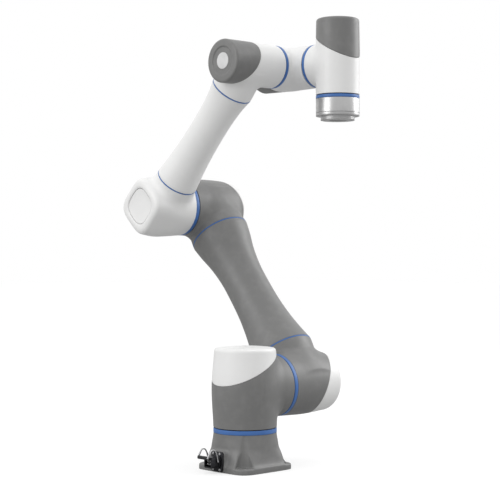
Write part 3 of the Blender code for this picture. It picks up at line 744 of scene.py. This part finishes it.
def band(name, radius, place, height, owner):
    """Thin blue ring between a tube and its housing."""
    outline = ring_outline(radius, radius - 0.005, height - BAND_HEIGHT / 2, height + BAND_HEIGHT / 2)
    turned_piece(name, outline, place, owner, BLUE_RING)


def tee(names, owner, finishes, place, hub, stub_height, stub_end, stub, seam, soft, cell=0.0022,
        recess=None):
    """Housing and cap of one joint: a hub along local Z that is blended with a stub along local X.

    hub is what hub_outline takes, stub the stub's (distance, radius) stations, seam the parting
    plane's height on the axis and its slope towards the stub, and recess the radius and depth of
    a round recess in the cap. The blend fades out at the stub's end, where a ring meets it.
    """
    section = hub_outline(*hub)
    turned = turned_field(section)

    def field(p):
        blend = soft * np.clip((stub_end - p[:, 0]) / (1.5 * soft), 0.05, 1)
        body = merged(turned(p), stub_field(p, stub_height, stub), blend)
        if recess is None:
            return body
        floor = hub[3] - recess[1]
        pocket = np.maximum(np.hypot(p[:, 0], p[:, 1]) - recess[0], floor - p[:, 2])
        return shared(body, -pocket, 0.0010)

    reach, length, start = max(r for r, _ in section), hub[3], hub[4]
    low = (-reach - 2 * cell, -reach - 3 * cell, start - 3 * cell)
    high = (stub_end + 3 * cell, reach + 3 * cell, length + 2 * cell)
    skin = surface(field, low, high, cell)
    offset, slope = seam
    joint_cut = ((0, 0, start), (0, 0, -1))
    stub_cut = ((stub_end, 0, 0), (1, 0, 0))
    housing_cut = ((0, 0, offset - GAP), (-slope, 0, 1))
    cap_cut = ((0, 0, offset + GAP), (slope, 0, -1))
    housing, cap = names
    shell(housing, skin, field, [joint_cut, stub_cut, housing_cut], cell, place, owner, finishes[0])
    shell(cap, skin, field, [cap_cut, stub_cut], cell, place, owner, finishes[1])
    return skin, field


# ---------------------------------------------------------------- shoulder and upper arm
def build_shoulder():
    place = aimed(Vector((0, 0, BASE_GROOVE.z)), Z, Y)
    end = SHOULDER_GROOVE.y - GROOVE_HALF
    tee(("shoulder_housing", "shoulder_cap"), "shoulder", (GREY_PAINT, WHITE_PAINT), place,
        (LARGE_RADIUS, 0.0612, 0.0566, 0.1478, GROOVE_HALF, 0.0060, 0.0030),
        SHOULDER_GROOVE.z - BASE_GROOVE.z, end,
        [(0.0, 0.0530), (0.030, 0.0560), (0.055, 0.0578), (end, LARGE_RADIUS), (end + 0.02, LARGE_RADIUS)],
        (0.1103, 0.53), 0.014)


def build_upper_arm():
    ring_end = GROOVE_HALF + LARGE_RING
    place = aimed(SHOULDER_GROOVE, Y, UPPER_ARM_AXIS)
    seal_ring("shoulder_seal_ring", LARGE_RADIUS, place, GROOVE_HALF, ring_end, "upper_arm")
    lower, upper = 0.0680, 0.3555
    lower_end = lower - BAND_HEIGHT / 2 - GAP
    tee(("upper_arm_shoulder_housing", "upper_arm_shoulder_cap"), "upper_arm",
        (GREY_PAINT, WHITE_PAINT), place,
        (LARGE_RADIUS, 0.0592, 0.0560, 0.1367, ring_end + GAP, 0.0120, 0.0030),
        ARM_PLANE - SHOULDER_GROOVE.y, lower_end,
        [(0.0, 0.0520), (0.030, 0.0548), (0.055, 0.0590), (lower_end, 0.0605), (lower_end + 0.02, 0.0610)],
        (0.1082, 0.52), 0.020)
    elbow_place = aimed(ELBOW_GROOVE, Y, -UPPER_ARM_AXIS)
    length = (ELBOW_GROOVE - SHOULDER_GROOVE).dot(UPPER_ARM_AXIS)
    upper_end = length - upper - BAND_HEIGHT / 2 - GAP
    tee(("upper_arm_elbow_housing", "upper_arm_elbow_cap"), "upper_arm", (GREY_PAINT, WHITE_PAINT),
        elbow_place, (ELBOW_RADIUS, 0.0572, 0.0545, 0.1310, GROOVE_HALF, 0.0120, 0.0030),
        ARM_PLANE - ELBOW_GROOVE.y, upper_end,
        [(0.0, 0.0500), (0.030, 0.0530), (0.055, 0.0572), (upper_end, 0.0590), (upper_end + 0.02, 0.0595)],
        (0.1110, 0.30), 0.016)
    arm = aimed(Vector((SHOULDER_GROOVE.x, ARM_PLANE, SHOULDER_GROOVE.z)), UPPER_ARM_AXIS, Y)
    band("upper_arm_lower_band", 0.0605, arm, lower, "upper_arm")
    band("upper_arm_upper_band", 0.0590, arm, upper, "upper_arm")
    low, high = lower + BAND_HEIGHT / 2 + GAP, upper - BAND_HEIGHT / 2 - GAP
    tube("upper_arm_tube",
         [(low, 0.0605), (0.092, 0.0553), (0.120, 0.0498), (0.160, 0.0446), (0.215, 0.0421),
          (0.260, 0.0428), (0.300, 0.0479), (0.333, 0.0553), (high, 0.0590)],
         arm, "upper_arm", GREY_PAINT)


# ---------------------------------------------------------------- forearm
def build_elbow_housing(elbow_stub_end):
    """Soft rounded box that turns into the elbow hub, with a raised rim round its end panel."""
    place = aimed(Vector((ELBOW_GROOVE.x, 0, ELBOW_GROOVE.z)), Y, FOREARM_AXIS)
    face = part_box("forearm_elbow_housing")[0].y
    end = ELBOW_GROOVE.y - GROOVE_HALF - LARGE_RING - GAP
    halves = [(face - 0.01, 0.0440), (face + 0.012, 0.0478), (0.0, 0.0523), (0.030, 0.0550),
              (end, ELBOW_RADIUS), (end + 0.02, ELBOW_RADIUS)]
    powers = [(face - 0.01, 3.7), (-0.022, 3.5), (0.0, 3.0), (0.030, 2.4), (end, 2.0), (end + 0.02, 2.0)]
    window_floor = -0.0262

    def field(p):
        body = squircle_field(p, eased(p[:, 2], halves), eased(p[:, 2], powers))
        body = shared(body, face - p[:, 2], 0.009)
        stub = stub_field(p, FOREARM_PLANE, [(0, 0.0360), (0.035, 0.0395), (0.055, 0.0416),
                                             (elbow_stub_end, 0.0412), (0.09, 0.0405)])
        body = merged(body, stub, 0.012)
        window = np.maximum(squircle_field(p, 0.0312, 3.0), p[:, 2] - window_floor)
        return shared(body, -window, 0.0035)

    cell = 0.0020
    skin = surface(field, (-0.062, -0.062, face - 0.004), (elbow_stub_end + 0.005, 0.062, end + 0.005), cell)
    shell("forearm_elbow_housing", skin, field,
          [((0, 0, end), (0, 0, 1)), ((elbow_stub_end, 0, 0), (1, 0, 0))], cell, place,
          "forearm", WHITE_PAINT)
    build_elbow_cover(place, face)


def build_elbow_cover(place, face):
    """Dished end panel inside the rim, 0.3 mm clear of it."""
    steps, half, power = 96, 0.0305, 3.0
    angles = np.linspace(0, 2 * math.pi, steps, endpoint=False)
    rim = (np.abs(np.cos(angles)) ** power + np.abs(np.sin(angles)) ** power) ** (-1 / power)
    dish = [(0.0, 0.0036), (0.25, 0.0036), (0.5, 0.0034), (0.7, 0.0030), (0.85, 0.0025), (0.94, 0.0021),
            (0.985, 0.0019), (1.0, 0.0023), (1.0, 0.0068), (0.97, 0.0072), (0.0, 0.0072)]
    outline = np.array(dish)
    points = np.stack([np.outer(half * rim * np.cos(angles), outline[:, 0]),
                       np.outer(half * rim * np.sin(angles), outline[:, 0]),
                       np.tile(face + outline[:, 1], (steps, 1))], -1).reshape(-1, 3)
    count = len(dish)
    quads = [(i * count + j, i * count + j + 1, (i + 1) % steps * count + j + 1, (i + 1) % steps * count + j)
             for i in range(steps) for j in range(count - 1)]
    mesh = closed_mesh("forearm_elbow_cover", points, quads, place)
    add_piece("forearm_elbow_cover", mesh, "forearm", WHITE_PAINT, ("forearm_elbow_cover",))


CAP_RECESS = (0.0260, 0.0020)
BADGE_RADIUS = 0.0150


def build_forearm():
    lower, upper = 0.0690, 0.2960
    place = aimed(ELBOW_GROOVE, Y, FOREARM_AXIS)
    seal_ring("elbow_seal_ring", ELBOW_RADIUS, place, -GROOVE_HALF - LARGE_RING, -GROOVE_HALF, "forearm")
    build_elbow_housing(lower - BAND_HEIGHT / 2 - GAP)
    arm = aimed(Vector((ELBOW_GROOVE.x, FOREARM_PLANE, ELBOW_GROOVE.z)), FOREARM_AXIS, Y)
    band("forearm_lower_band", 0.0412, arm, lower, "forearm")
    band("forearm_upper_band", SMALL_RADIUS, arm, upper, "forearm")
    low, high = lower + BAND_HEIGHT / 2 + GAP, upper - BAND_HEIGHT / 2 - GAP
    tube("forearm_tube",
         [(low, 0.0412), (0.110, 0.0370), (0.165, 0.0337), (0.205, 0.0331), (0.245, 0.0340),
          (0.276, 0.0370), (high, 0.0403)], arm, "forearm", WHITE_PAINT)
    wrist_place = aimed(WRIST_1_GROOVE, -Y, -FOREARM_AXIS)
    length = (WRIST_1_GROOVE - ELBOW_GROOVE).dot(FOREARM_AXIS)
    end = length - upper - BAND_HEIGHT / 2 - GAP
    hub = (SMALL_RADIUS, 0.0403, 0.0400, 0.1261, GROOVE_HALF, 0.0040, 0.0004)
    tee(("forearm_wrist_housing", "forearm_wrist_cap"), "forearm", (WHITE_PAINT, GREY_PAINT),
        wrist_place, hub, WRIST_1_GROOVE.y - FOREARM_PLANE, end,
        [(0.0, 0.0360), (0.030, 0.0385), (end, SMALL_RADIUS), (end + 0.02, SMALL_RADIUS)],
        (0.0842, 0.56), 0.010, 0.0018, CAP_RECESS)
    floor = hub[3] - CAP_RECESS[1]
    turned_piece("wrist_1_cap_badge", filleted([
        (0, floor - 0.0005, 0), (BADGE_RADIUS, floor - 0.0005, 0), (BADGE_RADIUS, floor + 0.0008, 0.0003),
        (0, floor + 0.0008, 0)]), wrist_place, "forearm", BADGE, ())


# ---------------------------------------------------------------- wrists and tool flange
def build_wrists():
    ring_end = GROOVE_HALF + SMALL_RING
    place = aimed(WRIST_1_GROOVE, Y, X)
    seal_ring("wrist_1_seal_ring", SMALL_RADIUS, place, GROOVE_HALF, ring_end, "wrist_1")
    hub = (SMALL_RADIUS, 0.0408, 0.0398, 0.1428, GROOVE_HALF, 0.0050, 0.0020)
    stub_end = WRIST_PLANE - WRIST_1_GROOVE.y - ring_end - GAP
    stub = [(0.0, 0.0360), (0.030, 0.0388), (stub_end, SMALL_RADIUS), (stub_end + 0.02, SMALL_RADIUS)]
    seam = (0.0893, 0.576)
    tee(("wrist_1_housing", "wrist_1_cap"), "wrist_1", (WHITE_PAINT, GREY_PAINT),
        aimed(WRIST_2_GROOVE, -X, -Y), hub, WRIST_2_GROOVE.x - WRIST_2_CENTRE.x, stub_end, stub,
        seam, 0.009, 0.0018)
    place = aimed(WRIST_2_GROOVE, X, Y)
    seal_ring("wrist_2_seal_ring", SMALL_RADIUS, place, GROOVE_HALF, ring_end, "wrist_2")
    stub_end = WRIST_3_CENTRE.x - WRIST_2_GROOVE.x - ring_end - GAP
    stub = [(0.0, 0.0360), (0.030, 0.0388), (stub_end, SMALL_RADIUS), (stub_end + 0.02, SMALL_RADIUS)]
    tee(("wrist_2_housing", "wrist_2_cap"), "wrist_2", (WHITE_PAINT, GREY_PAINT),
        aimed(WRIST_3_GROOVE, Z, -X), hub, WRIST_HEIGHT - WRIST_3_GROOVE.z, stub_end, stub,
        seam, 0.009, 0.0018)


BOSS_HEIGHT = 0.0075
FLANGE_BOSS = 0.0315
FLANGE_RECESS = 0.01575
RECESS_DEPTH = 0.0062
LINE_HEIGHT, LINE_HALF, LINE_DEPTH = 0.0062, 0.0006, 0.0007
TAPPED_CIRCLE = 0.0250
# (radius, height above the tool face) points of a tapped hole's cutter, with its chamfer
TAPPED_HOLE = [(0, -0.0110), (0.0025, -0.0110), (0.0025, -0.0006), (0.0032, 0.0001),
               (0.0032, 0.0020), (0, 0.0020)]


def build_tool_flange():
    """Turned flange with a centring boss and recess, and four tapped holes."""
    place = aimed(WRIST_3_GROOVE, -Z, X)
    ring_end = GROOVE_HALF + SMALL_RING
    seal_ring("wrist_3_seal_ring", SMALL_RADIUS, place, GROOVE_HALF, ring_end, "tool")
    face = WRIST_3_GROOVE.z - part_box("tool_flange")[0].z
    step, low = face - BOSS_HEIGHT, ring_end + GAP
    line = step - LINE_HEIGHT
    mesh = turned_mesh("tool_flange", filleted([
        (0, low, 0), (SMALL_RADIUS, low, 0.0007), (SMALL_RADIUS, line - LINE_HALF, 0),
        (SMALL_RADIUS - LINE_DEPTH, line, 0), (SMALL_RADIUS, line + LINE_HALF, 0),
        (SMALL_RADIUS, step, 0.0012), (FLANGE_BOSS, step, 0.0008), (FLANGE_BOSS, face, 0.0010),
        (FLANGE_RECESS, face, 0.0005), (FLANGE_RECESS, face - RECESS_DEPTH, 0.0004),
        (0, face - RECESS_DEPTH, 0)]), place)
    spots = [(TAPPED_CIRCLE * math.cos(a), TAPPED_CIRCLE * math.sin(a), face) for a in DIAGONALS]
    cutters = [turned_mesh("hole", TAPPED_HOLE, place @ Matrix.Translation(spot), 32) for spot in spots]
    add_piece("tool_flange", bored(mesh, cutters), "tool", FLANGE_METAL, ("tool_flange",))


# ---------------------------------------------------------------- base
PLATE_HALF, PLATE_POWER, PLATE_TOP = 0.0660, 5.9, 0.0105
TOWER_HALVES = [(-0.010, 0.0640), (0.0110, 0.0640), (0.0165, 0.0615), (0.0225, 0.0600),
                (0.0300, 0.0590), (0.0500, 0.0580), (0.0800, 0.0580)]
TOWER_POWERS = [(-0.010, 6.2), (0.0110, 6.2), (0.0165, 5.7), (0.0225, 4.6), (0.0300, 3.4),
                (0.0370, 2.7), (0.0500, 2.3), (0.0660, 2.0), (0.0800, 2.0)]
PLUG_BOSS = ((0, -0.0514, 0.01895), (0.0157, 0.0150, 0.01775))
BOLT_CIRCLE, BOLT_HOLE = 0.0705, 0.0045
POCKET_LOW, POCKET_HIGH = (0.0785, 0.0109), (0.0600, 0.0650)
POCKET_RADII = (0.0175, 0.0030)
BASE_BORE, BASE_FLOOR = 0.0500, 0.0065
PLATE_ROUNDING, TOWER_BLEND = 0.0025, 0.004
BOSS_ROUNDING, BOSS_BLEND = 0.004, 0.006
POCKET_ROUNDING, HOLE_ROUNDING, BORE_ROUNDING = 0.003, 0.0012, 0.001
BASE_REACH, BASE_CELL = 0.072, 0.0016


def box_field(p, centre, half, radius):
    """Box with rounded edges."""
    q = np.abs(p - np.array(centre)) - np.array(half) + radius
    return np.linalg.norm(np.maximum(q, 0), axis=1) + np.minimum(q.max(1), 0) - radius


def cone_field(p, low, low_radius, high, high_radius):
    """Round cone between two points."""
    low, run = np.array(low), np.array(high) - np.array(low)
    along = np.clip((p - low) @ run / (run @ run), 0, 1)
    return (np.linalg.norm(p - low - along[:, None] * run, axis=1)
            - low_radius - along * (high_radius - low_radius))


def base_field(p):
    """Square foot that rises into a round tower, with a plug boss and a pocket at each bolt."""
    tower = squircle_field(p, eased(p[:, 2], TOWER_HALVES), eased(p[:, 2], TOWER_POWERS))
    plate = shared(squircle_field(p, PLATE_HALF, PLATE_POWER), p[:, 2] - PLATE_TOP, PLATE_ROUNDING)
    body = merged(tower, plate, TOWER_BLEND)
    body = merged(body, box_field(p, *PLUG_BOSS, BOSS_ROUNDING), BOSS_BLEND)
    for angle in DIAGONALS:
        c, s = math.cos(angle), math.sin(angle)
        low = (POCKET_LOW[0] * c, POCKET_LOW[0] * s, POCKET_LOW[1])
        high = (POCKET_HIGH[0] * c, POCKET_HIGH[0] * s, POCKET_HIGH[1])
        pocket = cone_field(p, low, POCKET_RADII[0], high, POCKET_RADII[1])
        pocket = np.maximum(pocket, PLATE_TOP - p[:, 2])
        body = shared(body, -pocket, POCKET_ROUNDING)
        hole = np.hypot(p[:, 0] - BOLT_CIRCLE * c, p[:, 1] - BOLT_CIRCLE * s) - BOLT_HOLE
        body = shared(body, -hole, HOLE_ROUNDING)
    bore = np.maximum(np.hypot(p[:, 0], p[:, 1]) - BASE_BORE, BASE_FLOOR - p[:, 2])
    return shared(body, -bore, BORE_ROUNDING)


def build_base():
    top, spare = BASE_GROOVE.z - GROOVE_HALF - LARGE_RING - GAP, 3 * BASE_CELL
    skin = surface(base_field, (-BASE_REACH, -BASE_REACH, -spare),
                   (BASE_REACH, BASE_REACH, top + spare), BASE_CELL)
    ends = [((0, 0, top), (0, 0, 1)), ((0, 0, 0), (0, 0, -1))]
    bm = trimmed(skin, base_field, ends, BASE_CELL)
    rims = [edge for edge in bm.edges if edge.is_boundary]
    for upper in (True, False):
        rim = [edge for edge in rims if (edge.verts[0].co.z > top / 2) == upper]
        bmesh.ops.triangle_fill(bm, use_beauty=True, edges=rim)
    bmesh.ops.recalc_face_normals(bm, faces=bm.faces[:])
    mesh = bpy.data.meshes.new("base_casting")
    bm.to_mesh(mesh)
    bm.free()
    add_piece("base_casting", smoothed(mesh), "base", GREY_PAINT, ("base_casting",))
    place = aimed(BASE_GROOVE, Z, X)
    seal_ring("base_seal_ring", LARGE_RADIUS, place, -GROOVE_HALF - LARGE_RING, -GROOVE_HALF, "base")


# ---------------------------------------------------------------- plug socket and lever
PLUG_PLATE = (0.0290, 0.0350, 0.0035)
PLUG_SHELL = (0.0210, 0.0196, 0.0030)
PLUG_COLLAR = (0.0224, 0.0212, 0.0034)
PLUG_SOCKET = (0.0160, 0.0146, 0.0020)
PLUG_INSERT = (0.0120, 0.0106, 0.0012)
PLATE_DEPTH, COLLAR_DEPTH, SOCKET_DEPTH, INSERT_SET_BACK = 0.0040, 0.0028, 0.0160, 0.0040
COLLAR_SINK, INSERT_SINK = 0.0003, 0.0002
PIN_SPOTS = [(x, y) for x in (-0.0036, 0, 0.0036) for y in (-0.0027, 0.0027)]
PIN = filleted([(0, -0.0060, 0), (0.0009, -0.0060, 0), (0.0009, -0.0020, 0.0005), (0, -0.0020, 0)])
SCREW_HEAD = filleted([(0, -0.0008, 0), (0.0023, -0.0008, 0), (0.0023, 0.0014, 0.0005),
                       (0.0012, 0.0014, 0.0002), (0.0011, 0.0003, 0), (0, 0.0003, 0)])
SCREW_SPOTS = [(x, y) for x in (-0.0086, 0.0086) for y in (-0.0142, 0.0142)]


def build_connector():
    """Plug socket on the boss: plate, collar, open shell, insert with pins, and four screws."""
    low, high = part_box("connector_housing")
    place = aimed(Vector((0, 0, middle("connector_housing").z)), -Y, X)
    back, front = -high.y, -low.y
    face = back + PLATE_DEPTH
    add_piece("connector_plate", prism("connector_plate", rectangle(*PLUG_PLATE), back, face, place),
              "base", PLATE_METAL, ("connector_housing",))
    add_piece("connector_collar",
              prism("connector_collar", rectangle(*PLUG_COLLAR), face - COLLAR_SINK,
                    face + COLLAR_DEPTH, place),
              "base", PLATE_METAL)
    shell_mesh = prism("connector_shell", rectangle(*PLUG_SHELL), face, front, place, 0.0006)
    opening = prism("opening", rectangle(*PLUG_SOCKET), front - SOCKET_DEPTH, front + 0.002, place,
                    0.0001)
    add_piece("connector_shell", bored(shell_mesh, [opening]), "base", PLATE_METAL)
    add_piece("connector_insert",
              prism("connector_insert", rectangle(*PLUG_INSERT), front - SOCKET_DEPTH - INSERT_SINK,
                    front - INSERT_SET_BACK, place), "base", GASKET)
    for number, (x, y) in enumerate(PIN_SPOTS):
        spot = place @ Matrix.Translation((x, y, front))
        turned_piece("connector_pin_%d" % number, PIN, spot, "base", BRIGHT_STEEL, ())
    for number, (x, y) in enumerate(SCREW_SPOTS):
        spot = place @ Matrix.Translation((x, y, face))
        turned_piece("connector_screw_%d" % number, SCREW_HEAD, spot, "base", BRIGHT_STEEL, ())


LEVER_PATH = ((0, 0), (-0.0030, 0.0130), (-0.0085, 0.0210), (-0.0150, 0.0215), (-0.0200, 0.0160),
              (-0.0245, 0.0085))
LEVER_INNER, LEVER_OUTER = 0.0118, 0.0137
LEVER_WIDTHS = [(0, 0.0015), (0.25, 0.0012), (0.6, 0.0012), (1, 0.0020)]
LEVER_PIN = filleted([(0, -0.0022, 0), (0.0013, -0.0022, 0), (0.0013, 0.0006, 0.0004), (0, 0.0006, 0)])
LEVER_GRIP = (0.0046, 0.0062, 0.0016)


def ribbon(path, stations):
    """Closed outline of a strip along a path, with (share of the path, half width) stations."""
    steps = np.linspace(0, len(path) - 1, 41)
    line = np.stack([eased(steps, list(enumerate(axis))) for axis in zip(*path)], 1)
    along = np.gradient(line, axis=0)
    along /= np.linalg.norm(along, axis=1)[:, None]
    half = eased(steps / steps[-1], stations)[:, None]
    across = np.stack((-along[:, 1], along[:, 0]), 1) * half
    turn = math.degrees(math.atan2(*along[-1][::-1]))
    tip = arc(line[-1], half[-1, 0], turn + 90, turn - 90, 8)[1:-1]
    turn = math.degrees(math.atan2(*along[0][::-1]))
    heel = arc(line[0], half[0, 0], turn - 90, turn - 270, 8)[1:-1]
    return [*map(tuple, line + across), *tip, *map(tuple, (line - across)[::-1]), *heel]


def build_lever():
    """Locking lever: two arched side bars on pivot pins, joined by a handle."""
    place = Matrix.Translation(PIVOTS["connector_lever_turn"]) @ Matrix((Y, Z, X)).transposed().to_4x4()
    outline = ribbon(LEVER_PATH, LEVER_WIDTHS)
    for side, low, high in (("left", -LEVER_OUTER, -LEVER_INNER), ("right", LEVER_INNER, LEVER_OUTER)):
        name = "connector_lever_" + side
        nodes = ("connector_lever",) if side == "left" else ()
        add_piece(name, prism(name, outline, low, high, place, 0.0003), "connector_lever",
                  BRIGHT_STEEL, nodes)
        outward = X if side == "right" else -X
        spot = PIVOTS["connector_lever_turn"] + LEVER_OUTER * outward
        turned_piece(name + "_pin", LEVER_PIN, aimed(spot, outward, Y), "connector_lever", BRIGHT_STEEL, ())
    y, z = LEVER_PATH[-1]
    grip = [(y + a, z + b) for a, b in rectangle(*LEVER_GRIP)]
    add_piece("connector_lever_handle",
              prism("connector_lever_handle", grip, -LEVER_INNER - 0.0004, LEVER_INNER + 0.0004, place),
              "connector_lever", BLACK_PLASTIC)


# ---------------------------------------------------------------- actuators inside the joints
# The output flanges get the near-black metal, which is painted shade for the joint grooves.
INNER_FINISHES = {"_circular_spline": GEAR_METAL, "_rotor": GEAR_METAL, "_motor_stator": WINDING,
                  "_drive_board": BOARD, "_output_flange": PAINTED_SHADE_FLANGE_METAL}


def finish_actuators():
    """Detailed finishes for the CAD's own actuator parts, which stay as they are."""
    for name, node in frame["nodes"].items():
        for ending, finish in INNER_FINISHES.items():
            if name.endswith(ending):
                for holder in node.material_slots:
                    holder.material = finish.material


build_base()
build_connector()
build_lever()
build_shoulder()
build_upper_arm()
build_forearm()
build_wrists()
build_tool_flange()
finish_actuators()
